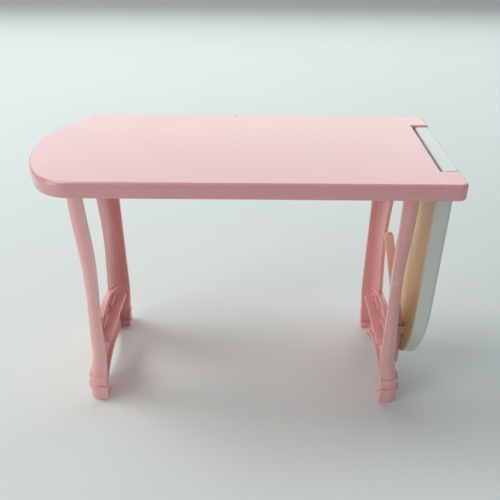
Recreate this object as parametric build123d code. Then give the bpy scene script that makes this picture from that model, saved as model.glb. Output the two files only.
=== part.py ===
"""Doll-scale dressing table with a fold-down mirror at its right-hand end.

Frame: millimetres, +Z up, origin on the floor under the middle of the tabletop.
+X runs along the table towards the mirror, -Y faces the user.
"""
from build123d import *
from math import asin, atan2, cos, degrees, hypot, pi, radians, sin, sqrt, tan
import os

# ---- driving dimensions -------------------------------------------------------------------
OVERLAP = 0.5                 # how far joined or cut shapes run into each other
BEYOND = 60.0                 # reach of a cutting block past anything it has to clear

TABLE_LENGTH = 170.0          # rounded end to notched end
TABLE_DEPTH = 78.0
TABLE_HEIGHT = 115.0
APRON_HEIGHT = 6.2            # full height of the tabletop moulding at its edge
TOP_SKIN = 2.2                # thickness of the top plate
APRON_WALL = 2.0
TOP_EDGE_ROUND = 1.5
APRON_EDGE_ROUND = 0.4

END_BOW_RADIUS = 58.0         # the gently bowed left-hand end
END_CORNER_RADIUS = 17.0      # the large corners on either side of it
EAR_CORNER_RADIUS = 3.8       # the right-hand corners
EAR_TIP_RADIUS = 1.2

NOTCH_WIDTH = 50.0            # gap between the two ears that carry the mirror
NOTCH_DEPTH = 7.4
HINGE_BLOCK = 6.0             # solid length of each ear next to the notch
BEARING_END_GAP = 0.4

# mirror leaf
LEAF_GAP = 0.5                # side gap between leaf and ear
LEAF_THICKNESS = 7.0
LEAF_BOTTOM = 10.0            # height of the hanging leaf's lowest point
LEAF_ARCH = 40.0              # height of the half-ellipse that ends the leaf
LEAF_BACK_ROUND = 0.8
LEAF_FACE_ROUND = 2.2
BAR_HALF = 3.2                # half the thickness of the squared hinge bar along the leaf's top
BAR_ROUND = 1.2               # its corners, so that it turns inside the notch
BAR_PROUD = 0.1               # how far the bar stands out past the leaf's face
NECK_HEIGHT = 6.0             # the leaf is full thickness only this far below the hinge axis
HINGE_Z = 111.3
HINGE_SETBACK = 3.2           # hinge axis, back from the table's right-hand end
TRUNNION_RADIUS = 1.2
TRUNNION_LENGTH = 4.0
RUNNING_CLEARANCE = 0.06      # radial, for every pivot

MIRROR_BORDER = 5.0
MIRROR_THICKNESS = 1.2
MIRROR_SINK = 0.3             # the mirror's face lies this far below the leaf's
BACK_BORDER = 1.4
BACK_THICKNESS = 1.6
BACK_EDGE_ROUND = 0.4
BACK_TOP_DROP = 8.0           # the panel's top edge, below the hinge axis
CAVITY_BORDER = 4.0
CAVITY_DEPTH = 1.6

# fold lever behind the leaf
LEVER_Y = -8.5
LEVER_WIDTH = 3.8
LEVER_THICKNESS = 2.0
LEVER_PIVOT_Z = 27.0
LEVER_TAIL_END_Z = 5.0
LEVER_TIP_Z = 78.5
LEVER_LEAN = 12.0             # degrees that the upper arm leans in from upright
LEVER_PIN_RADIUS = 0.8
LEVER_EDGE_ROUND = 0.3
LEVER_REST_GAP = 0.15         # between the resting lever and the leaf's back
LUG_THICKNESS = 1.2
LUG_RADIUS = 1.9
LUG_GAP = 0.2

# leg frames, measured from the middle between them
FRAME_SHIFT = 2.0             # that middle lies this far towards the mirror
FRAME_INNER_X = 62.0          # open side of the moulding, towards the table's middle
FRAME_OUTER_X = 69.0
FRAME_WALL = 1.7
FRAME_HALF_DEPTH = 29.5
FRAME_CORNER_ROUND = 4.5
OPENING_HALF_WIDTH = 11.5
OPENING_BOTTOM_Z = 35.0
OPENING_TOP_Z = 102.0
OPENING_ROUND = 5.0
SHOULDER_Z = 22.0             # where the web's arched top edge meets the corner flanges
ARCH_APEX_Z = 8.0             # arched gap between the feet
ARCH_HALF_WIDTH = 21.0
RIB_THICKNESS = 1.4
SILL_RIB_PROUD = 1.0          # how far the ribs along the web's curved edges stand in from it
HEM_RIB_PROUD = 1.6
WEB_HALF_WIDTH = 19.0         # the web stays flat this far; beyond it the feet flare out
CHORD_RIB_Z = 26.0
CHORD_RIB_HALF = 19.0
PAD_LENGTH = 9.0             # two short raised bars between the ribs
PAD_HEIGHT = 2.2
PAD_OFFSET_Y = 8.5
PAD_PROUD = 1.4
PAD_RISE = 1.6                # height of the bars above the chord rib
WAIST = 1.5                   # how far the posts draw in between foot and tabletop
FOOT_OUT = 3.0                # how far each foot flares outwards
FOOT_IN = 1.4                 # and how far its inner side follows
FOOT_FORWARD = 1.8
FOOT_HEIGHT = 26.0
FOOT_STRAIGHT = 5.0
FOOT_RING_Z = (6.6, 11.8)
FOOT_RING_HEIGHT = 1.6
FOOT_RING_PROUD = 0.7
FOOT_RING_GAP = 2.0           # bare stretch between a ring's end and the arch
SOLE = 2.0                    # solid floor of each foot
SOLE_INNER_Y = 25.0

# joint between leg frames and tabletop
PEG_RADIUS = 1.7
PEG_CLEARANCE = 0.05
PEG_LENGTH = 7.0
PEG_Y = 20.0
PEG_BOSS = 3.6                # half length of the solid block around each peg socket
RAIL_FLOOR = 3.5              # solid stretch of the top rail below its pockets
RAIL_CLEARANCE = 0.1
CHANNEL_WALL = 1.4
CHANNEL_DEPTH = 3.0
STIFFENER_WALL = 1.2
STIFFENER_DEPTH = 1.8
STIFFENER_X = (-40.0, -13.5, 13.5, 40.0)
STIFFENER_Y = (-20.0, 0.0, 20.0)

# ---- values worked out from them ----------------------------------------------------------
RIGHT_END = TABLE_LENGTH / 2
HALF_DEPTH = TABLE_DEPTH / 2
APRON_BOTTOM_Z = TABLE_HEIGHT - APRON_HEIGHT
SOFFIT_Z = TABLE_HEIGHT - TOP_SKIN
NOTCH_X = RIGHT_END - NOTCH_DEPTH
HINGE_X = RIGHT_END - HINGE_SETBACK
LEAF_HALF_WIDTH = NOTCH_WIDTH / 2 - LEAF_GAP
LEAF_FACE_X = HINGE_X + BAR_HALF - BAR_PROUD
LEAF_BACK_X = LEAF_FACE_X - LEAF_THICKNESS
LEVER_PIVOT_X = LEAF_BACK_X - LEVER_WIDTH / 2 - LEVER_REST_GAP
LEVER_PIN_REACH = LEVER_THICKNESS / 2 + LUG_GAP + LUG_THICKNESS
MIRROR_X = LEAF_FACE_X - MIRROR_SINK - MIRROR_THICKNESS
MIRROR_TOP_Z = HINGE_Z - MIRROR_BORDER
BACK_TOP_Z = HINGE_Z - BACK_TOP_DROP
FRAME_TOP_Z = SOFFIT_Z
FRAME_MID_X = (FRAME_INNER_X + FRAME_OUTER_X) / 2


def extruded_along_y(profile, half_length):
    """Extrude a sketch drawn on Plane.XZ symmetrically along Y."""
    return extrude(profile, amount=half_length, both=True)


def block(x_range, y_range, z_range):
    """A box given by its lowest and highest corners."""
    size = [high - low for low, high in (x_range, y_range, z_range)]
    centre = [(low + high) / 2 for low, high in (x_range, y_range, z_range)]
    return Pos(*centre) * Box(*size)


def rod_along_y(x, z, radius, y_range):
    """A round bar lying along Y."""
    length = y_range[1] - y_range[0]
    return Pos(x, sum(y_range) / 2, z) * Rot(90, 0, 0) * Cylinder(radius, length)


# ---- tabletop -----------------------------------------------------------------------------
def tabletop_outline():
    """Plan of the tabletop: bowed left end, two ears and a notch at the right."""
    bow_centre_x = -TABLE_LENGTH / 2 + END_BOW_RADIUS
    corner_y = HALF_DEPTH - END_CORNER_RADIUS
    reach = END_BOW_RADIUS - END_CORNER_RADIUS
    corner_x = bow_centre_x - sqrt(reach ** 2 - corner_y ** 2)
    join = asin(corner_y / reach)
    join_point = (bow_centre_x - END_BOW_RADIUS * cos(join), END_BOW_RADIUS * sin(join))
    middle = (radians(90) + join) / 2
    corner_middle = (corner_x - END_CORNER_RADIUS * cos(middle), corner_y + END_CORNER_RADIUS * sin(middle))
    half_notch = NOTCH_WIDTH / 2

    def mirrored(point):
        return (point[0], -point[1])

    back_start = (corner_x, HALF_DEPTH)
    edges = [
        ThreePointArc(join_point, (-TABLE_LENGTH / 2, 0), mirrored(join_point)),
        ThreePointArc(mirrored(join_point), mirrored(corner_middle), mirrored(back_start)),
        Line(mirrored(back_start), (RIGHT_END, -HALF_DEPTH)),
        Polyline(
            (RIGHT_END, -HALF_DEPTH), (RIGHT_END, -half_notch), (NOTCH_X, -half_notch),
            (NOTCH_X, half_notch), (RIGHT_END, half_notch), (RIGHT_END, HALF_DEPTH),
        ),
        Line((RIGHT_END, HALF_DEPTH), back_start),
        ThreePointArc(back_start, corner_middle, join_point),
    ]
    outline = make_face(edges)
    right_corners = outline.vertices().filter_by(lambda v: v.X > RIGHT_END - 0.1)
    outer = right_corners.filter_by(lambda v: abs(v.Y) > HALF_DEPTH - 0.1)
    outline = fillet(outer, EAR_CORNER_RADIUS)
    tips = outline.vertices().filter_by(lambda v: v.X > RIGHT_END - 0.1 and abs(abs(v.Y) - half_notch) < 0.1)
    return fillet(tips, EAR_TIP_RADIUS)


def make_tabletop():
    """The top moulding: skin, apron, hinge blocks, leg channels and stiffeners."""
    outline = Pos(0, 0, APRON_BOTTOM_Z) * tabletop_outline()
    top = extrude(outline, APRON_HEIGHT)
    top = fillet(top.edges().group_by(Axis.Z)[-1], TOP_EDGE_ROUND)
    top = fillet(top.edges().group_by(Axis.Z)[0], APRON_EDGE_ROUND)

    hollow = extrude(offset(outline, -APRON_WALL), APRON_HEIGHT - TOP_SKIN)
    half_notch = NOTCH_WIDTH / 2
    for side in (-1, 1):
        y_range = sorted((side * (half_notch - OVERLAP), side * (half_notch + HINGE_BLOCK)))
        hollow -= block((NOTCH_X - APRON_WALL, RIGHT_END), y_range, (APRON_BOTTOM_Z, SOFFIT_Z))
    top -= hollow

    ribs = []
    stiffener_z = (SOFFIT_Z - STIFFENER_DEPTH, SOFFIT_Z + OVERLAP)
    cross_reach = HALF_DEPTH - APRON_WALL / 2
    for x in STIFFENER_X:
        ribs.append(block((x - STIFFENER_WALL / 2, x + STIFFENER_WALL / 2), (-cross_reach, cross_reach), stiffener_z))
    long_reach = FRAME_INNER_X - RAIL_CLEARANCE - CHANNEL_WALL / 2
    for y in STIFFENER_Y:
        ribs.append(block((FRAME_SHIFT - long_reach, FRAME_SHIFT + long_reach),
                          (y - STIFFENER_WALL / 2, y + STIFFENER_WALL / 2), stiffener_z))
    for side in (-1, 1):
        for inner, outer in ((FRAME_INNER_X - RAIL_CLEARANCE - CHANNEL_WALL, FRAME_INNER_X - RAIL_CLEARANCE),
                             (FRAME_OUTER_X + RAIL_CLEARANCE, FRAME_OUTER_X + RAIL_CLEARANCE + CHANNEL_WALL)):
            x_range = sorted((FRAME_SHIFT + side * inner, FRAME_SHIFT + side * outer))
            ribs.append(block(x_range, (-FRAME_HALF_DEPTH, FRAME_HALF_DEPTH),
                              (SOFFIT_Z - CHANNEL_DEPTH, SOFFIT_Z + OVERLAP)))
        for y in (-PEG_Y, PEG_Y):
            ribs.append(Pos(FRAME_SHIFT + side * FRAME_MID_X, y, SOFFIT_Z - (PEG_LENGTH - OVERLAP) / 2)
                        * Cylinder(PEG_RADIUS, PEG_LENGTH + OVERLAP))
    for rib in ribs:
        top += rib

    bearing = TRUNNION_LENGTH + BEARING_END_GAP
    for side in (-1, 1):
        y_range = sorted((side * (half_notch - OVERLAP), side * (half_notch + bearing)))
        top -= rod_along_y(HINGE_X, HINGE_Z, TRUNNION_RADIUS + RUNNING_CLEARANCE, y_range)
    return top


# ---- leg frames ---------------------------------------------------------------------------
def foot_share(z):
    """1 at the floor and 0 above the foot, in a smooth step."""
    t = min(max((z - FOOT_STRAIGHT) / (FOOT_HEIGHT - FOOT_STRAIGHT), 0.0), 1.0)
    return 1 - t * t * (3 - 2 * t)


def waist_share(z):
    """0 at the top of the foot and under the tabletop, 1 half-way between."""
    t = min(max((z - FOOT_HEIGHT) / (OPENING_TOP_Z - FOOT_HEIGHT), 0.0), 1.0)
    return sin(pi * t) ** 2


def frame_section(z, grow=0.0):
    """Plan section of a right-hand frame's envelope: a rectangle with two rounded outer corners."""
    inner = FRAME_INNER_X + FOOT_IN * foot_share(z) - grow
    outer = FRAME_OUTER_X + FOOT_OUT * foot_share(z) - WAIST * waist_share(z) + grow
    half = FRAME_HALF_DEPTH + FOOT_FORWARD * foot_share(z) + grow
    bend = FRAME_CORNER_ROUND + grow
    near = bend * (1 - sqrt(0.5))
    return Pos(0, 0, z) * make_face([
        Polyline((outer - bend, half), (inner, half), (inner, -half), (outer - bend, -half)),
        ThreePointArc((outer - bend, -half), (outer - near, -half + near), (outer, -half + bend)),
        Line((outer, -half + bend), (outer, half - bend)),
        ThreePointArc((outer, half - bend), (outer - near, half - near), (outer - bend, half)),
    ])


def frame_envelope(grow=0.0):
    """The solid that holds one right-hand leg frame: a waisted slab with a flared foot."""
    steps = 6
    rise = OPENING_TOP_Z - FOOT_HEIGHT
    foot = loft([frame_section(FOOT_HEIGHT * i / steps, grow) for i in range(steps + 1)])
    leg = loft([frame_section(FOOT_HEIGHT + rise * i / steps, grow) for i in range(steps + 1)])
    rail = extrude(frame_section(OPENING_TOP_Z, grow), FRAME_TOP_Z - OPENING_TOP_Z)
    return foot + leg + rail


def web_top_profile(drop=0.0):
    """Region (Y-Z) above the web's arched top edge, lowered by drop."""
    half = FRAME_HALF_DEPTH
    crown = OPENING_BOTTOM_Z - drop
    shoulder = SHOULDER_Z - drop
    return Plane.YZ * make_face([
        ThreePointArc((-half, shoulder), (0, crown), (half, shoulder)),
        Polyline((half, shoulder), (half, FRAME_TOP_Z), (-half, FRAME_TOP_Z), (-half, shoulder)),
    ])


def foot_arch_profile(rise=0.0):
    """Region (Y-Z) of the arched gap between the feet, raised by rise."""
    half = ARCH_HALF_WIDTH + rise
    return Plane.YZ * make_face([
        ThreePointArc((-half, 0), (0, ARCH_APEX_Z + rise), (half, 0)),
        Polyline((half, 0), (half, -OVERLAP), (-half, -OVERLAP), (-half, 0)),
    ])


def post_opening():
    """The tall gap between the two posts, with rounded corners and an arched sill."""
    tall = block((0, RIGHT_END), (-OPENING_HALF_WIDTH, OPENING_HALF_WIDTH), (SHOULDER_Z, OPENING_TOP_Z))
    tall = fillet(tall.edges().filter_by(Axis.X).group_by(Axis.Z)[-1], OPENING_ROUND)
    return tall & extrude(web_top_profile(), amount=RIGHT_END)


def web_ribs(wall_x, inside):
    """The low ribs that edge the web, the deeper chord rib across it and the two bars above that."""
    whole_height = (0, FRAME_TOP_Z)
    depth = (-FRAME_HALF_DEPTH, FRAME_HALF_DEPTH)
    sill = extrude(web_top_profile(RIB_THICKNESS), amount=RIGHT_END) - extrude(web_top_profile(), amount=RIGHT_END)
    sill &= block((wall_x - SILL_RIB_PROUD, RIGHT_END), depth, whole_height)
    hem = extrude(foot_arch_profile(RIB_THICKNESS), amount=RIGHT_END) - extrude(foot_arch_profile(), amount=RIGHT_END)
    hem &= block((wall_x - HEM_RIB_PROUD, RIGHT_END), depth, whole_height)
    chord = block((FRAME_INNER_X, RIGHT_END), (-CHORD_RIB_HALF, CHORD_RIB_HALF),
                  (CHORD_RIB_Z - RIB_THICKNESS, CHORD_RIB_Z))
    ribs = sill + hem + chord
    for y in (-PAD_OFFSET_Y, PAD_OFFSET_Y):
        ribs += block((wall_x - PAD_PROUD, wall_x + OVERLAP), (y - PAD_LENGTH / 2, y + PAD_LENGTH / 2),
                      (CHORD_RIB_Z + PAD_RISE, CHORD_RIB_Z + PAD_RISE + PAD_HEIGHT))
    return ribs & inside


def foot_rings(core):
    """The raised rings round each foot, left open on the frame's inner side."""
    shell = frame_envelope(FOOT_RING_PROUD)
    rings = None
    for z in FOOT_RING_Z:
        band = shell & block((0, RIGHT_END), (-BEYOND, BEYOND), (z, z + FOOT_RING_HEIGHT))
        rings = band if rings is None else rings + band
    rings -= core
    rings -= block((0, RIGHT_END), (-ARCH_HALF_WIDTH - FOOT_RING_GAP, ARCH_HALF_WIDTH + FOOT_RING_GAP), (0, BEYOND))
    return rings - block((0, FRAME_INNER_X + FOOT_RING_GAP / 2), (-BEYOND, BEYOND), (0, BEYOND))


def make_leg_frame():
    """One right-hand leg frame: two posts and a low web, open on its inner side."""
    envelope = frame_envelope()
    wall_x = FRAME_OUTER_X - FRAME_WALL
    inner_half = FRAME_HALF_DEPTH - FRAME_WALL
    hollow = Pos(-FRAME_WALL, 0, 0) * envelope & block(
        (0, RIGHT_END), (-inner_half, inner_half), (0, OPENING_TOP_Z + RAIL_FLOOR / 2))
    cheek = WEB_HALF_WIDTH + FRAME_WALL
    recess = hollow - block((0, RIGHT_END), (SOLE_INNER_Y, BEYOND), (0, SOLE))
    recess -= block((0, RIGHT_END), (-BEYOND, -SOLE_INNER_Y), (0, SOLE))
    recess -= block((wall_x, RIGHT_END), (-cheek, cheek), (0, FOOT_HEIGHT))
    frame = envelope - recess
    frame -= block((FRAME_OUTER_X, RIGHT_END), (-WEB_HALF_WIDTH, WEB_HALF_WIDTH), (0, FOOT_HEIGHT))

    inside = envelope & block((0, wall_x + OVERLAP), (-inner_half - OVERLAP, inner_half + OVERLAP), (0, FRAME_TOP_Z))
    frame += web_ribs(wall_x, inside)
    for low, high in ((-PEG_Y + PEG_BOSS, PEG_Y - PEG_BOSS), (PEG_Y + PEG_BOSS, inner_half)):
        pocket = block((FRAME_INNER_X - OVERLAP, wall_x), (low, high),
                       (OPENING_TOP_Z + RAIL_FLOOR, FRAME_TOP_Z - FRAME_WALL))
        frame -= pocket
        frame -= pocket.mirror(Plane.XZ)

    frame -= post_opening()
    frame -= extrude(foot_arch_profile(), amount=RIGHT_END)
    frame += foot_rings(hollow)
    for y in (-PEG_Y, PEG_Y):
        frame -= Pos(FRAME_MID_X, y, FRAME_TOP_Z - PEG_LENGTH / 2) * Cylinder(
            PEG_RADIUS + PEG_CLEARANCE, PEG_LENGTH + 2 * OVERLAP)
    return frame


# ---- mirror leaf --------------------------------------------------------------------------
def leaf_outline(inset=0.0, top=HINGE_Z):
    """Outline of the hanging leaf (Y-Z): straight sides ending in a half ellipse."""
    half = LEAF_HALF_WIDTH - inset
    arch = LEAF_ARCH - inset
    centre_z = LEAF_BOTTOM + LEAF_ARCH
    end = Pos(0, centre_z) * Ellipse(half, arch)
    sides = Pos(0, (centre_z + top) / 2) * Rectangle(2 * half, top - centre_z)
    lower = Pos(0, centre_z - arch / 2) * Rectangle(2 * half + OVERLAP, arch)
    return Plane.YZ * ((end & lower) + sides)


def leaf_slab(x, inset, top, thickness):
    """A slab with the leaf's outline, from x outwards."""
    return Pos(x, 0, 0) * extrude(leaf_outline(inset, top), amount=thickness)


def make_mirror_frame():
    """The white leaf: rounded shell, squared hinge bar and its two trunnions."""
    leaf = leaf_slab(LEAF_BACK_X, 0, HINGE_Z, LEAF_THICKNESS)
    rims = leaf.edges().filter_by(
        lambda e: e.bounding_box().size.X < 0.01 and e.center().Z < HINGE_Z - OVERLAP)
    leaf = fillet(rims.filter_by(lambda e: e.center().X > HINGE_X), LEAF_FACE_ROUND)
    back = leaf.edges().filter_by(
        lambda e: abs(e.center().X - LEAF_BACK_X) < 0.01 and e.center().Z < HINGE_Z - OVERLAP)
    leaf = fillet(back, LEAF_BACK_ROUND)
    leaf -= block((LEAF_BACK_X - OVERLAP, HINGE_X - BAR_HALF), (-NOTCH_WIDTH, NOTCH_WIDTH),
                  (HINGE_Z - NECK_HEIGHT, HINGE_Z + OVERLAP))
    section = Plane.XZ * (Pos(HINGE_X, HINGE_Z) * RectangleRounded(2 * BAR_HALF, 2 * BAR_HALF, BAR_ROUND))
    leaf += extruded_along_y(section, LEAF_HALF_WIDTH)
    reach = NOTCH_WIDTH / 2 + TRUNNION_LENGTH
    leaf += rod_along_y(HINGE_X, HINGE_Z, TRUNNION_RADIUS, (-reach, reach))

    leaf -= leaf_slab(MIRROR_X, MIRROR_BORDER, MIRROR_TOP_Z, MIRROR_THICKNESS + 1)
    leaf -= leaf_slab(LEAF_BACK_X - 1, BACK_BORDER, BACK_TOP_Z, BACK_THICKNESS + 1)
    return leaf - leaf_slab(LEAF_BACK_X, CAVITY_BORDER, BACK_TOP_Z - CAVITY_BORDER, BACK_THICKNESS + CAVITY_DEPTH)


def make_mirror_plate():
    """The mirror, set just below the leaf's outer face."""
    return leaf_slab(MIRROR_X, MIRROR_BORDER, MIRROR_TOP_Z, MIRROR_THICKNESS)


def make_mirror_back():
    """The tan panel that closes the leaf's inner side, with two lugs for the lever."""
    panel = leaf_slab(LEAF_BACK_X, BACK_BORDER, BACK_TOP_Z, BACK_THICKNESS)
    rim = panel.edges().filter_by(lambda e: abs(e.center().X - LEAF_BACK_X) < 0.01)
    panel = fillet(rim, BACK_EDGE_ROUND)
    for side in (-1, 1):
        inner = LEVER_THICKNESS / 2 + LUG_GAP
        y_range = sorted(LEVER_Y + side * d for d in (inner, inner + LUG_THICKNESS))
        lug = rod_along_y(LEVER_PIVOT_X, LEVER_PIVOT_Z, LUG_RADIUS, y_range)
        lug += block((LEVER_PIVOT_X, LEAF_BACK_X + OVERLAP), y_range,
                     (LEVER_PIVOT_Z - LUG_RADIUS, LEVER_PIVOT_Z + LUG_RADIUS))
        panel += lug
    return panel - rod_along_y(LEVER_PIVOT_X, LEVER_PIVOT_Z, LEVER_PIN_RADIUS + RUNNING_CLEARANCE,
                               (LEVER_Y - LEVER_PIN_REACH - OVERLAP, LEVER_Y + LEVER_PIN_REACH + OVERLAP))


def lever_strap(start, end):
    """One straight round-ended stretch of the lever between two points (X, Z)."""
    run, rise = end[0] - start[0], end[1] - start[1]
    middle = ((start[0] + end[0]) / 2, (start[1] + end[1]) / 2)
    slot = SlotCenterToCenter(hypot(run, rise), LEVER_WIDTH, rotation=degrees(atan2(rise, run)))
    strap = extruded_along_y(Plane.XZ * (Pos(*middle) * slot), LEVER_THICKNESS / 2)
    return Pos(0, LEVER_Y, 0) * strap


def make_fold_lever():
    """The bent lever: a tail beside the leaf and an upper arm leaning inwards."""
    tip_z = LEVER_TIP_Z - LEVER_WIDTH / 2
    tip_x = LEVER_PIVOT_X - (tip_z - LEVER_PIVOT_Z) * tan(radians(LEVER_LEAN))
    pivot = (LEVER_PIVOT_X, LEVER_PIVOT_Z)
    tail = (LEVER_PIVOT_X, LEVER_TAIL_END_Z + LEVER_WIDTH / 2)
    lever = lever_strap(tail, pivot) + lever_strap(pivot, (tip_x, tip_z))
    lever = fillet(lever.edges().filter_by(lambda e: e.bounding_box().size.Y < 0.01), LEVER_EDGE_ROUND)
    return lever + rod_along_y(*pivot, LEVER_PIN_RADIUS, (LEVER_Y - LEVER_PIN_REACH, LEVER_Y + LEVER_PIN_REACH))


# ---- the whole object ---------------------------------------------------------------------
def main():
    """Build every node and write one STEP file for each."""
    frame = make_leg_frame()
    shift = Pos(FRAME_SHIFT, 0, 0)
    nodes = {
        "tabletop": make_tabletop(),
        "leg_frame_left": shift * frame.mirror(Plane.YZ),
        "leg_frame_right": shift * frame,
        "mirror_frame": make_mirror_frame(),
        "mirror_plate": make_mirror_plate(),
        "mirror_back": make_mirror_back(),
        "fold_lever": make_fold_lever(),
    }
    os.makedirs("parts", exist_ok=True)
    for name, shape in nodes.items():
        solids = shape.solids()
        shape = solids[0] if len(solids) == 1 else Compound(children=solids)
        export_step(shape, f"parts/{name}.step")
        box = shape.bounding_box()
        print(f"{name}: {len(solids)} solid(s), volume {shape.volume:.0f}, "
              f"X {box.min.X:.2f}..{box.max.X:.2f} Y {box.min.Y:.2f}..{box.max.Y:.2f} "
              f"Z {box.min.Z:.2f}..{box.max.Z:.2f}")


if __name__ == "__main__":
    main()
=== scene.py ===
"""Doll-scale dressing table in moulded pink plastic, with a fold-down mirror at its right-hand end.

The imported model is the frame. Each sub-assembly below finishes its mouldings, adds the fine parts
that sit on them and dresses them in procedural plastics. Lengths are in metres.
"""
import logging
import math
from dataclasses import dataclass
from enum import Enum

import bmesh
import bpy
import numpy as np
from mathutils import Matrix, Vector


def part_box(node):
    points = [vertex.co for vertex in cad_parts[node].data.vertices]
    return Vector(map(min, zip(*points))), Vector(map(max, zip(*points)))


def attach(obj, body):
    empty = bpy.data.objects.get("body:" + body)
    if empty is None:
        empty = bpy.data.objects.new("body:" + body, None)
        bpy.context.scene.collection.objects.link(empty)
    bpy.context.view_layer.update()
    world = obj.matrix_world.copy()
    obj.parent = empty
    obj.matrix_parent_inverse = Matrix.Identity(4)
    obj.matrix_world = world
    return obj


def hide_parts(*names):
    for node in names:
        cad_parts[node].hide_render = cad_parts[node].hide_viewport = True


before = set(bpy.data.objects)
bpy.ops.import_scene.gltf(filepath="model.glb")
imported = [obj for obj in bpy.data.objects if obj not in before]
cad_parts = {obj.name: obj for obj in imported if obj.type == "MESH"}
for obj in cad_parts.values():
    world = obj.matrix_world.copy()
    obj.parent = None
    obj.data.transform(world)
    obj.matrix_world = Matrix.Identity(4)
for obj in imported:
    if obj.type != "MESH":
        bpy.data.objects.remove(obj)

logging.basicConfig(level=logging.INFO, format="%(levelname)s %(message)s")
LOG = logging.getLogger("dressing_table")

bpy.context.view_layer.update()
MM = 0.001


class Body(Enum):
    """The moving bodies that a piece can ride on."""

    TABLE = "table"
    MIRROR = "mirror"
    LEVER = "lever"


class Slot(Enum):
    """The record's material slots."""

    PINK = "pink_plastic"
    WHITE = "white_plastic"
    MIRROR = "mirror_sheet"
    TAN = "tan_plastic"


# ---- node graphs ---------------------------------------------------------------------------


class Graph:
    """A thin, typed wrapper that adds and joins the nodes of one material or group."""

    def __init__(self, tree: bpy.types.NodeTree) -> None:
        """Keep the tree and remember how many nodes were laid out."""
        self.tree = tree
        self.count = 0

    def node(self, kind: str, **settings: object) -> bpy.types.Node:
        """Add one node.

        Args:
            kind: the node's bl_idname.
            settings: attributes to set on it, such as operation or data_type.

        Returns:
            The new node.
        """
        made = self.tree.nodes.new(kind)
        made.location = (220 * (self.count % 8), -240 * (self.count // 8))
        self.count += 1
        for name, value in settings.items():
            setattr(made, name, value)
        return made

    def join(self, source: bpy.types.NodeSocket, target: bpy.types.NodeSocket) -> None:
        """Link an output socket to an input socket."""
        self.tree.links.new(source, target)

    def feed(self, node: bpy.types.Node, **inputs: object) -> bpy.types.Node:
        """Give a node's named inputs a socket or a value.

        Args:
            node: the node whose inputs are set.
            inputs: input name, with spaces as underscores, to a socket or a plain value.

        Returns:
            The same node.
        """
        for name, value in inputs.items():
            socket = node.inputs[name.replace("_", " ")]
            if isinstance(value, bpy.types.NodeSocket):
                self.join(value, socket)
            else:
                socket.default_value = value
        return node

    def math(self, operation: str, first: object, second: object = 0.0,
             clamp: bool = False) -> bpy.types.NodeSocket:
        """Combine two numbers with a Math node and return its output."""
        made = self.node("ShaderNodeMath", operation=operation, use_clamp=clamp)
        for socket, value in zip(made.inputs, (first, second)):
            if isinstance(value, bpy.types.NodeSocket):
                self.join(value, socket)
            else:
                socket.default_value = value
        return made.outputs[0]

    def noise(self, place: bpy.types.NodeSocket, scale: float, detail: float = 3.0,
              roughness: float = 0.5, distortion: float = 0.0) -> bpy.types.NodeSocket:
        """Return the value of a noise texture read at a place."""
        made = self.node("ShaderNodeTexNoise")
        self.feed(made, Vector=place, Scale=scale, Detail=detail, Roughness=roughness,
                  Distortion=distortion)
        return made.outputs["Fac"]

    def span(self, value: bpy.types.NodeSocket, low: float, high: float,
             out_low: float = 0.0, out_high: float = 1.0) -> bpy.types.NodeSocket:
        """Map a value from one range to another in a smooth step and return it."""
        made = self.node("ShaderNodeMapRange", interpolation_type="SMOOTHSTEP")
        for socket, number in zip(made.inputs[1:5], (low, high, out_low, out_high)):
            socket.default_value = number
        self.join(value, made.inputs[0])
        return made.outputs[0]

    def mix(self, share: object, first: object, second: object) -> bpy.types.NodeSocket:
        """Mix two colours by a share and return the result."""
        made = self.node("ShaderNodeMix", data_type="RGBA")
        for socket, value in ((made.inputs[0], share), (made.inputs[6], first), (made.inputs[7], second)):
            if isinstance(value, bpy.types.NodeSocket):
                self.join(value, socket)
            else:
                socket.default_value = value
        return made.outputs[2]


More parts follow.
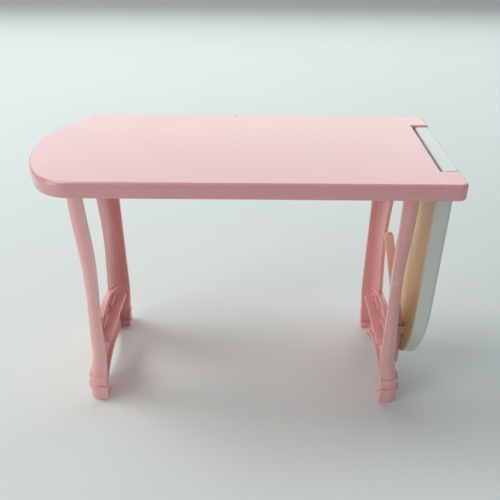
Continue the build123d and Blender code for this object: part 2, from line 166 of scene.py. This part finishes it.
class SharedEffects:
    """Node groups that more than one material places with its own values."""

    def __init__(self) -> None:
        """Build each group once."""
        self.grain = self._grain()
        self.handling = self._handling()

    @staticmethod
    def _group(name: str, inputs: dict[str, float], outputs: tuple[str, ...]) -> tuple[Graph, dict, dict]:
        """Make an empty group with named float sockets.

        Args:
            name: the group's name.
            inputs: each input's name and default.
            outputs: the outputs' names.

        Returns:
            The graph inside the group, its input sockets and its output sockets by name.
        """
        tree = bpy.data.node_groups.new(name, "ShaderNodeTree")
        for label, default in inputs.items():
            socket = tree.interface.new_socket(name=label, in_out="INPUT", socket_type="NodeSocketFloat")
            socket.default_value = default
        for label in outputs:
            tree.interface.new_socket(name=label, in_out="OUTPUT", socket_type="NodeSocketFloat")
        graph = Graph(tree)
        entry = graph.node("NodeGroupInput")
        leave = graph.node("NodeGroupOutput")
        return graph, {s.name: s for s in entry.outputs}, {s.name: s for s in leave.inputs}

    def _grain(self) -> bpy.types.NodeTree:
        """Moulded skin: fine orange peel, slow sink marks and faint flow lines, as one height."""
        graph, given, out = self._group(
            "moulded_grain", {"Peel": 0.5, "Sink": 0.4, "Flow": 0.15}, ("Height", "Shade"))
        place = graph.node("ShaderNodeTexCoord").outputs["Object"]
        peel = graph.noise(place, 1400.0, 2.0)
        sink = graph.noise(place, 38.0, 1.0)
        wave = graph.node("ShaderNodeTexWave", wave_type="RINGS", rings_direction="SPHERICAL")
        graph.feed(wave, Vector=place, Scale=26.0, Distortion=9.0, Detail=2.0, Detail_Scale=1.2)
        height = graph.math("MULTIPLY", peel, given["Peel"])
        height = graph.math("ADD", height, graph.math("MULTIPLY", sink, given["Sink"]))
        height = graph.math("ADD", height, graph.math("MULTIPLY", wave.outputs["Fac"], given["Flow"]))
        graph.join(height, out["Height"])
        cloud = graph.noise(place, 16.0, 3.0, 0.55)
        graph.join(graph.span(cloud, 0.3, 0.7), out["Shade"])
        return graph.tree

    def _handling(self) -> bpy.types.NodeTree:
        """Handling marks: hairline scuffs in patches, and dust that settles on upward faces."""
        graph, given, out = self._group(
            "handling_marks", {"Scuffs": 0.5, "Dust": 0.2}, ("Scuff", "Dust"))
        place = graph.node("ShaderNodeTexCoord").outputs["Object"]
        turned = graph.node("ShaderNodeMapping")
        graph.feed(turned, Vector=place, Rotation=(0.3, 0.2, 0.6), Scale=(60.0, 900.0, 900.0))
        hairs = graph.noise(turned.outputs[0], 1.0, 4.0, 0.6, 0.4)
        patches = graph.noise(place, 55.0, 2.0)
        scuff = graph.math("MULTIPLY", graph.span(hairs, 0.58, 0.72), graph.span(patches, 0.5, 0.68))
        graph.join(graph.math("MULTIPLY", scuff, given["Scuffs"], True), out["Scuff"])
        normal = graph.node("ShaderNodeNewGeometry").outputs["Normal"]
        split = graph.node("ShaderNodeSeparateXYZ")
        graph.join(normal, split.inputs[0])
        upward = graph.span(split.outputs[2], 0.55, 0.98)
        specks = graph.span(graph.noise(place, 620.0, 3.0, 0.7), 0.62, 0.78)
        settled = graph.math("MULTIPLY", upward, specks)
        graph.join(graph.math("MULTIPLY", settled, given["Dust"], True), out["Dust"])
        return graph.tree


@dataclass(frozen=True)
class MouldedPlastic:
    """An injection-moulded plastic: colours, gloss and how strongly it is grained and worn."""

    name: str
    slot: Slot
    colour: tuple[float, float, float]
    pale: tuple[float, float, float]
    worn: tuple[float, float, float] = (0.92, 0.88, 0.86)
    roughness: float = 0.34
    peel: float = 0.4
    sink: float = 0.5
    flow: float = 0.12
    scuffs: float = 0.5
    dust: float = 0.25
    bump: float = 0.25
    bump_depth: float = 0.00012
    gloss_coat: float = 0.35
    glow: float = 0.25
    glow_radius: float = 0.003
    glow_spread: tuple[float, float, float] = (1.0, 0.4, 0.35)
    coat_roughness: float = 0.2
    dust_colour: tuple[float, float, float] = (0.78, 0.76, 0.74)

    def build(self, effects: SharedEffects) -> bpy.types.Material:
        """Make the material.

        Args:
            effects: the shared node groups.

        Returns:
            The finished material.
        """
        material = bpy.data.materials.new(self.name)
        material.use_nodes = True
        graph = Graph(material.node_tree)
        shader = material.node_tree.nodes["Principled BSDF"]
        shader.inputs["IOR"].default_value = 1.5
        shader.inputs["Subsurface Weight"].default_value = self.glow
        shader.inputs["Subsurface Radius"].default_value = self.glow_spread
        shader.inputs["Coat Weight"].default_value = self.gloss_coat
        shader.inputs["Coat Roughness"].default_value = self.coat_roughness
        shader.inputs["Subsurface Scale"].default_value = self.glow_radius

        grain = graph.node("ShaderNodeGroup", node_tree=effects.grain)
        graph.feed(grain, Peel=self.peel, Sink=self.sink, Flow=self.flow)
        marks = graph.node("ShaderNodeGroup", node_tree=effects.handling)
        graph.feed(marks, Scuffs=self.scuffs, Dust=self.dust)

        cloudy = graph.mix(grain.outputs["Shade"], (*self.colour, 1.0), (*self.pale, 1.0))
        scuffed = graph.mix(graph.math("MULTIPLY", marks.outputs["Scuff"], 0.5), cloudy, (*self.worn, 1.0))
        dusty = graph.mix(marks.outputs["Dust"], scuffed, (*self.dust_colour, 1.0))
        graph.join(dusty, shader.inputs["Base Color"])

        patchy = graph.span(grain.outputs["Shade"], 0.0, 1.0, self.roughness - 0.03, self.roughness + 0.05)
        rough = graph.math("ADD", patchy, graph.math("MULTIPLY", marks.outputs["Scuff"], 0.25))
        rough = graph.math("ADD", rough, graph.math("MULTIPLY", marks.outputs["Dust"], 0.3), True)
        graph.join(rough, shader.inputs["Roughness"])

        height = graph.math("SUBTRACT", grain.outputs["Height"],
                            graph.math("MULTIPLY", marks.outputs["Scuff"], 0.35))
        bump = graph.node("ShaderNodeBump")
        graph.feed(bump, Height=height, Strength=self.bump, Distance=self.bump_depth)
        graph.join(bump.outputs[0], shader.inputs["Normal"])
        return material


@dataclass(frozen=True)
class SilveredSheet:
    """A silvered mirror sheet with faint waviness and finger haze."""

    name: str = "silvered_sheet"
    slot: Slot = Slot.MIRROR
    colour: tuple[float, float, float] = (0.86, 0.88, 0.89)
    haze: tuple[float, float, float] = (0.74, 0.75, 0.75)

    def build(self, effects: SharedEffects) -> bpy.types.Material:
        """Make the material.

        Args:
            effects: the shared node groups.

        Returns:
            The finished material.
        """
        material = bpy.data.materials.new(self.name)
        material.use_nodes = True
        graph = Graph(material.node_tree)
        shader = material.node_tree.nodes["Principled BSDF"]
        shader.inputs["Metallic"].default_value = 1.0
        marks = graph.node("ShaderNodeGroup", node_tree=effects.handling)
        graph.feed(marks, Scuffs=0.5, Dust=0.1)
        place = graph.node("ShaderNodeTexCoord").outputs["Object"]
        smears = graph.span(graph.noise(place, 70.0, 4.0, 0.6, 1.2), 0.45, 0.8)
        graph.join(graph.mix(smears, (*self.colour, 1.0), (*self.haze, 1.0)), shader.inputs["Base Color"])
        rough = graph.math("ADD", graph.math("MULTIPLY", smears, 0.10), 0.035)
        rough = graph.math("ADD", rough, graph.math("MULTIPLY", marks.outputs["Scuff"], 0.2), True)
        graph.join(rough, shader.inputs["Roughness"])
        bump = graph.node("ShaderNodeBump")
        graph.feed(bump, Height=graph.noise(place, 45.0, 1.0), Strength=0.12, Distance=0.0002)
        graph.join(bump.outputs[0], shader.inputs["Normal"])
        return material


class Palette:
    """Builds each finish once and hands its material out by finish name."""

    def __init__(self) -> None:
        """Build the shared groups; materials are made when they are first asked for."""
        self.effects = SharedEffects()
        self.made: dict[str, bpy.types.Material] = {}

    def dress(self, piece: bpy.types.Object, finish: "MouldedPlastic | SilveredSheet") -> None:
        """Give a piece one finish.

        Args:
            piece: the object to dress.
            finish: the plastic or mirror finish.
        """
        if finish.name not in self.made:
            self.made[finish.name] = finish.build(self.effects)
        piece.data.materials.clear()
        piece.data.materials.append(self.made[finish.name])


# The tabletop's copy of the one pink plastic is darker and redder, as painted shade on its apron.
PINK_TOP_SHADED = MouldedPlastic("tabletop_pink_painted_shade", Slot.PINK, (0.80, 0.38, 0.39), (0.83, 0.41, 0.42),
                          roughness=0.30, gloss_coat=0.8)
# The legs' copy of the same pink plastic is paler, as painted light on the legs.
PINK_LEGS_LIT = MouldedPlastic("leg_frame_pink_painted_light", Slot.PINK, (0.88, 0.46, 0.45), (0.90, 0.50, 0.49),
                           roughness=0.36, scuffs=0.7, dust=0.15)
# The leaf's white is greyed below the plastic's own white, as painted shade for the leaf's shaded side.
WHITE_LEAF_SHADED = MouldedPlastic("leaf_white_painted_shade", Slot.WHITE, (0.66, 0.71, 0.66), (0.73, 0.77, 0.72),
                            worn=(0.62, 0.60, 0.55), roughness=0.32)
# The panel's tan is brightened above the plastic's own colour, as painted light on a panel that sits in
# shadow behind the leg frame.
TAN_PANEL_LIT = MouldedPlastic("back_panel_tan_painted_light", Slot.TAN, (0.95, 0.72, 0.38), (0.97, 0.76, 0.43),
                           worn=(0.78, 0.66, 0.52), roughness=0.5, peel=0.9, sink=0.3, flow=0.3, bump=0.35)
TAN_LEVER = MouldedPlastic("lever_tan", Slot.TAN, (0.88, 0.56, 0.42), (0.90, 0.60, 0.46),
                           worn=(0.82, 0.68, 0.56), roughness=0.42, scuffs=0.8)
SILVER = SilveredSheet()


# ---- meshes --------------------------------------------------------------------------------


def add_object(name: str, mesh: bpy.types.Mesh, body: Body) -> bpy.types.Object:
    """Put a mesh in the scene as a piece that rides on a body.

    Args:
        name: the piece's name.
        mesh: its mesh, already in place in the row frame.
        body: the body that it moves with.

    Returns:
        The new object, at the origin.
    """
    piece = bpy.data.objects.new(name, mesh)
    bpy.context.scene.collection.objects.link(piece)
    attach(piece, body.value)
    return piece


def grid_mesh(name: str, points: np.ndarray, close_u: bool = False,
              close_v: bool = False) -> bpy.types.Mesh:
    """Make a smooth mesh from a grid of points.

    The faces join point (i, j) to (i + 1, j), (i + 1, j + 1) and (i, j + 1), and wrap round where
    a direction is closed.

    Args:
        name: the mesh's name.
        points: an array of shape (rows, columns, 3).
        close_u: join the last row to the first.
        close_v: join the last column to the first.

    Returns:
        The new mesh.
    """
    rows, columns = points.shape[:2]
    index = np.arange(rows * columns).reshape(rows, columns)
    u = np.arange(rows if close_u else rows - 1)
    v = np.arange(columns if close_v else columns - 1)
    uu, vv = np.meshgrid(u, v, indexing="ij")
    u_next, v_next = (uu + 1) % rows, (vv + 1) % columns
    quads = np.stack([index[uu, vv], index[u_next, vv], index[u_next, v_next], index[uu, v_next]], axis=-1)
    mesh = bpy.data.meshes.new(name)
    mesh.from_pydata(points.reshape(-1, 3).tolist(), [], quads.reshape(-1, 4).tolist())
    mesh.polygons.foreach_set("use_smooth", np.ones(len(mesh.polygons), dtype=bool))
    mesh.update()
    return mesh


def sweep(path: np.ndarray, across: np.ndarray, up: np.ndarray, profile: np.ndarray) -> np.ndarray:
    """Carry a closed profile along a path.

    Each point is the path's point plus the profile's first number times the sideways direction
    there, plus its second number times the upward direction there.

    Args:
        path: points of shape (n, 3).
        across: sideways unit vectors of shape (n, 3).
        up: upward unit vectors of shape (n, 3).
        profile: offsets of shape (m, 2).

    Returns:
        A grid of points of shape (n, m, 3).
    """
    return (path[:, None, :] + profile[None, :, :1] * across[:, None, :]
            + profile[None, :, 1:] * up[:, None, :])


def bead_profile(width: float, height: float, count: int = 16) -> np.ndarray:
    """A flattened round bead: half-width times cosine across, height times sine up."""
    angle = np.linspace(0.0, 2.0 * math.pi, count, endpoint=False)
    return np.stack([0.5 * width * np.cos(angle), height * np.sin(angle)], axis=-1)


@dataclass
class CadSkin:
    """A finished copy of a CAD moulding: welded, smooth shaded and with its hard edges eased."""

    node: str
    piece_name: str
    body: Body
    finish: MouldedPlastic | SilveredSheet
    ease: float = 0.22 * MM
    weld: float = 0.002 * MM
    flat_angle: float = math.radians(0.35)
    hard_angle: float = math.radians(32.0)
    ease_segments: int = 2

    def build(self, palette: Palette) -> bpy.types.Object:
        """Make the piece, let it stand for its node and dress it.

        Args:
            palette: hands out the materials.

        Returns:
            The finished piece.
        """
        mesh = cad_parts[self.node].data.copy()
        mesh.name = self.piece_name
        shell = bmesh.new()
        shell.from_mesh(mesh)
        bmesh.ops.remove_doubles(shell, verts=shell.verts, dist=self.weld)
        bmesh.ops.dissolve_limit(shell, angle_limit=self.flat_angle, verts=shell.verts, edges=shell.edges)
        shell.to_mesh(mesh)
        shell.free()
        mesh.polygons.foreach_set("use_smooth", np.ones(len(mesh.polygons), dtype=bool))
        mesh.update()
        piece = add_object(self.piece_name, mesh, self.body)
        edge = piece.modifiers.new("eased_edges", "BEVEL")
        edge.width = self.ease
        edge.segments = self.ease_segments
        edge.limit_method = "ANGLE"
        edge.angle_limit = self.hard_angle
        edge.use_clamp_overlap = True
        edge.miter_outer = "MITER_ARC"
        shading = piece.modifiers.new("even_shading", "WEIGHTED_NORMAL")
        shading.keep_sharp = True
        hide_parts(self.node)
        palette.dress(piece, self.finish)
        LOG.info("%s: %d faces from %s", self.piece_name, len(mesh.polygons), self.node)
        return piece


# ---- sub-assemblies ------------------------------------------------------------------------


@dataclass
class Tabletop:
    """The pink top moulding and the round marks that its mould's pins leave underneath."""

    skin: float = 2.2 * MM
    mark_radius: float = 1.9 * MM
    mark_height: float = 0.18 * MM
    mark_x: tuple[float, ...] = (-52.0 * MM, -27.0 * MM, 0.0, 27.0 * MM, 52.0 * MM)
    mark_y: tuple[float, ...] = (-10.0 * MM, 10.0 * MM)
    rings: int = 8
    spokes: int = 24

    def pin_mark(self, centre: tuple[float, float]) -> np.ndarray:
        """One round mark that stands down from the tabletop's underside.

        The radius runs from nothing to its full value, and the drop is the mark's height times
        the square root of one minus the fourth power of the radius share, so that the mark is
        flat in the middle and rounds off at its rim.

        Args:
            centre: the mark's x and y.

        Returns:
            A grid of points, rings by spokes.
        """
        share = np.linspace(1.0, 0.0, self.rings)[:, None]
        angle = np.linspace(0.0, 2.0 * math.pi, self.spokes, endpoint=False)[None, :]
        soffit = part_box("tabletop")[1].z - self.skin
        drop = self.mark_height * np.sqrt(1.0 - share ** 4) * np.ones_like(angle)
        radius = self.mark_radius * share
        x = centre[0] + radius * np.cos(angle)
        y = centre[1] + radius * np.sin(angle)
        return np.stack([x, y, soffit - drop], axis=-1)

    def build_marks(self, palette: Palette) -> None:
        """Join the pin marks into one piece on the underside."""
        shell = bmesh.new()
        for x in self.mark_x:
            for y in self.mark_y:
                mark = grid_mesh("mark", self.pin_mark((x, y)), close_v=True)
                shell.from_mesh(mark)
                bpy.data.meshes.remove(mark)
        bmesh.ops.remove_doubles(shell, verts=shell.verts, dist=0.001 * MM)
        bmesh.ops.recalc_face_normals(shell, faces=shell.faces)
        mesh = bpy.data.meshes.new("underside_pin_marks")
        shell.to_mesh(mesh)
        shell.free()
        piece = add_object("underside_pin_marks", mesh, Body.TABLE)
        palette.dress(piece, PINK_TOP_SHADED)
        LOG.info("underside_pin_marks: %d faces", len(mesh.polygons))

    def build(self, palette: Palette) -> None:
        """Finish the moulding and add the marks of the mould's pins."""
        CadSkin("tabletop", "tabletop_moulding", Body.TABLE, PINK_TOP_SHADED).build(palette)
        self.build_marks(palette)


@dataclass
class LegFrames:
    """The two end frames."""

    sides: tuple[str, ...] = ("left", "right")

    def build(self, palette: Palette) -> None:
        """Finish both mouldings."""
        for side in self.sides:
            CadSkin(f"leg_frame_{side}", f"leg_frame_{side}_moulding", Body.TABLE, PINK_LEGS_LIT).build(palette)


@dataclass
class MirrorLeaf:
    """The white leaf with its mirror, its tan back panel and the bead round the mirror."""

    bead_width: float = 1.4 * MM
    bead_height: float = 0.35 * MM
    bead_margin: float = -0.2 * MM
    leaf_arch: float = 40.0 * MM
    corner: float = 0.8 * MM
    steps: int = 96

    def mirror_outline(self) -> np.ndarray:
        """The mirror's outline in the leaf's plane, grown by the bead's margin.

        Straight sides run down from the top edge, and the end is a half ellipse: y is the half
        width times the cosine and z the arch's height times minus the sine of the same angle.

        Returns:
            Points (y, z) once round, shape (n, 2).
        """
        low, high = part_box("mirror_plate")
        half = high.y + self.bead_margin
        arch_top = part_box("mirror_frame")[0].z + self.leaf_arch
        arch = arch_top - low.z + self.bead_margin
        top = high.z + self.bead_margin
        corner = self.corner
        turn = np.linspace(0.0, math.pi, self.steps)
        end = np.stack([half * np.cos(turn), arch_top - arch * np.sin(turn)], axis=-1)
        rise = np.linspace(arch_top, top - corner, 14)[1:]
        left = np.stack([np.full_like(rise, -half), rise], axis=-1)
        quarter = np.linspace(0.0, math.pi / 2, 8)[1:]
        left_y = -half + corner - corner * np.cos(quarter)
        top_left = np.stack([left_y, top - corner + corner * np.sin(quarter)], axis=-1)
        run = np.linspace(-half + corner, half - corner, 12)[1:]
        across = np.stack([run, np.full_like(run, top)], axis=-1)
        right_y = half - corner + corner * np.sin(quarter)
        top_right = np.stack([right_y, top - corner + corner * np.cos(quarter)], axis=-1)
        fall = rise[::-1][1:]
        right = np.stack([np.full_like(fall, half), fall], axis=-1)
        return np.concatenate([end, left, top_left, across, top_right, right])

    def build_bead(self, palette: Palette) -> None:
        """Sweep a low rounded bead over the seam round the mirror, just under the leaf's face."""
        outline = self.mirror_outline()
        face_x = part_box("mirror_plate")[1].x
        path = np.column_stack([np.full(len(outline), face_x), outline])
        tangent = np.roll(path, -1, axis=0) - np.roll(path, 1, axis=0)
        tangent /= np.linalg.norm(tangent, axis=1, keepdims=True)
        up = np.tile([1.0, 0.0, 0.0], (len(path), 1))
        across = np.cross(tangent, up)
        grid = sweep(path, across, up, bead_profile(self.bead_width, self.bead_height))
        mesh = grid_mesh("mirror_bead", grid, close_u=True, close_v=True)
        piece = add_object("mirror_bead", mesh, Body.MIRROR)
        palette.dress(piece, WHITE_LEAF_SHADED)
        LOG.info("mirror_bead: %d faces", len(mesh.polygons))

    def build(self, palette: Palette) -> None:
        """Finish the leaf, the panel and the mirror, and add the bead."""
        CadSkin("mirror_frame", "mirror_leaf_shell", Body.MIRROR, WHITE_LEAF_SHADED).build(palette)
        CadSkin("mirror_back", "mirror_back_panel", Body.MIRROR, TAN_PANEL_LIT, ease=0.12 * MM).build(palette)
        CadSkin("mirror_plate", "mirror_sheet", Body.MIRROR, SILVER, ease=0.15 * MM).build(palette)
        self.build_bead(palette)


@dataclass
class FoldLever:
    """The tan bent lever behind the leaf."""

    def build(self, palette: Palette) -> None:
        """Finish the lever."""
        CadSkin("fold_lever", "fold_lever_moulding", Body.LEVER, TAN_LEVER, ease=0.12 * MM).build(palette)


# ---- stage ---------------------------------------------------------------------------------


@dataclass(frozen=True)
class SoftLight:
    """A rectangular soft light aimed at the table."""

    name: str
    place: tuple[float, float, float]
    width: float
    height: float
    power: float
    colour: tuple[float, float, float]


@dataclass
class Studio:
    """A pale floor, soft lights and the camera."""

    floor_half: float = 3.0
    floor_colour: tuple[float, float, float] = (0.82, 0.88, 0.85)
    world_colour: tuple[float, float, float] = (0.93, 0.97, 1.0)
    sky_strength: float = 0.30
    ground_strength: float = 0.30
    eye: tuple[float, float, float] = (0.00733, -0.23811, 0.20700)
    yaw: float = math.radians(-0.641)
    pitch: float = math.radians(30.98)
    roll: float = math.radians(0.163)
    lens: float = 43.5
    sensor: float = 36.0
    near_clip: float = 0.01
    light_target: tuple[float, float, float] = (0.0, 0.0, 0.06)
    lights: tuple[SoftLight, ...] = (
        SoftLight("key", (-0.70, 0.20, 1.30), 0.50, 0.50, 6.5, (1.0, 1.0, 0.98)),
        SoftLight("far_panel", (0.0, 0.85, 0.46), 1.9, 0.50, 4.6, (0.95, 1.0, 1.0)),
        SoftLight("left_fill", (-0.95, -0.55, 0.40), 0.45, 0.45, 3.4, (1.0, 0.99, 0.98)),
    )

    def floor(self) -> None:
        """A wide plain floor at the feet's level, with a faintly mottled matt paint."""
        half = self.floor_half
        line = np.linspace(-half, half, 3)
        x, y = np.meshgrid(line, line, indexing="ij")
        mesh = grid_mesh("floor", np.stack([x, y, np.zeros_like(x)], axis=-1))
        plane = bpy.data.objects.new("floor", mesh)
        bpy.context.scene.collection.objects.link(plane)
        material = bpy.data.materials.new("floor_paint")
        material.use_nodes = True
        graph = Graph(material.node_tree)
        shader = material.node_tree.nodes["Principled BSDF"]
        shader.inputs["Roughness"].default_value = 0.55
        place = graph.node("ShaderNodeTexCoord").outputs["Object"]
        pale = tuple(0.96 * c for c in self.floor_colour)
        tint = graph.mix(graph.noise(place, 9.0, 2.0), (*self.floor_colour, 1.0), (*pale, 1.0))
        graph.join(tint, shader.inputs["Base Color"])
        mesh.materials.append(material)

    def light(self) -> None:
        """Even daylight from the world and large soft area lights aimed at the tabletop."""
        world = bpy.data.worlds.new("soft_daylight")
        world.use_nodes = True
        graph = Graph(world.node_tree)
        background = world.node_tree.nodes["Background"]
        background.inputs["Color"].default_value = (*self.world_colour, 1.0)
        split = graph.node("ShaderNodeSeparateXYZ")
        graph.join(graph.node("ShaderNodeTexCoord").outputs["Generated"], split.inputs[0])
        brightness = graph.span(split.outputs[2], -0.1, 0.8, self.ground_strength, self.sky_strength)
        graph.join(brightness, background.inputs["Strength"])
        bpy.context.scene.world = world
        target = Vector(self.light_target)
        for light in self.lights:
            data = bpy.data.lights.new(light.name, "AREA")
            data.shape = "RECTANGLE"
            data.size = light.width
            data.size_y = light.height
            data.energy = light.power
            data.color = light.colour
            lamp = bpy.data.objects.new(light.name, data)
            lamp.location = light.place
            lamp.rotation_euler = (target - lamp.location).to_track_quat("-Z", "Y").to_euler()
            lamp.visible_camera = False
            bpy.context.scene.collection.objects.link(lamp)

    def camera(self) -> None:
        """Place the camera from its eye point and its yaw, downward pitch and roll."""
        cos_p, sin_p = math.cos(self.pitch), math.sin(self.pitch)
        forward = Vector((math.sin(self.yaw) * cos_p, math.cos(self.yaw) * cos_p, -sin_p))
        level = Vector((math.cos(self.yaw), -math.sin(self.yaw), 0.0))
        upright = level.cross(forward)
        right = math.cos(self.roll) * level + math.sin(self.roll) * upright
        up = right.cross(forward)
        data = bpy.data.cameras.new("camera")
        data.lens = self.lens
        data.sensor_width = self.sensor
        data.clip_start = self.near_clip
        eye = bpy.data.objects.new("camera", data)
        turn = Matrix((right, up, -forward)).transposed().to_4x4()
        eye.matrix_world = Matrix.Translation(self.eye) @ turn
        bpy.context.scene.collection.objects.link(eye)
        bpy.context.scene.camera = eye

    def build(self) -> None:
        """Set the floor, the lights, the camera and a plain tone curve."""
        bpy.context.scene.view_settings.view_transform = "Standard"
        self.floor()
        self.light()
        self.camera()


def main() -> None:
    """Build every sub-assembly in order, then the stage."""
    palette = Palette()
    for assembly in (Tabletop(), LegFrames(), MirrorLeaf(), FoldLever()):
        assembly.build(palette)
    Studio().build()


if __name__ == "__main__":
    main()
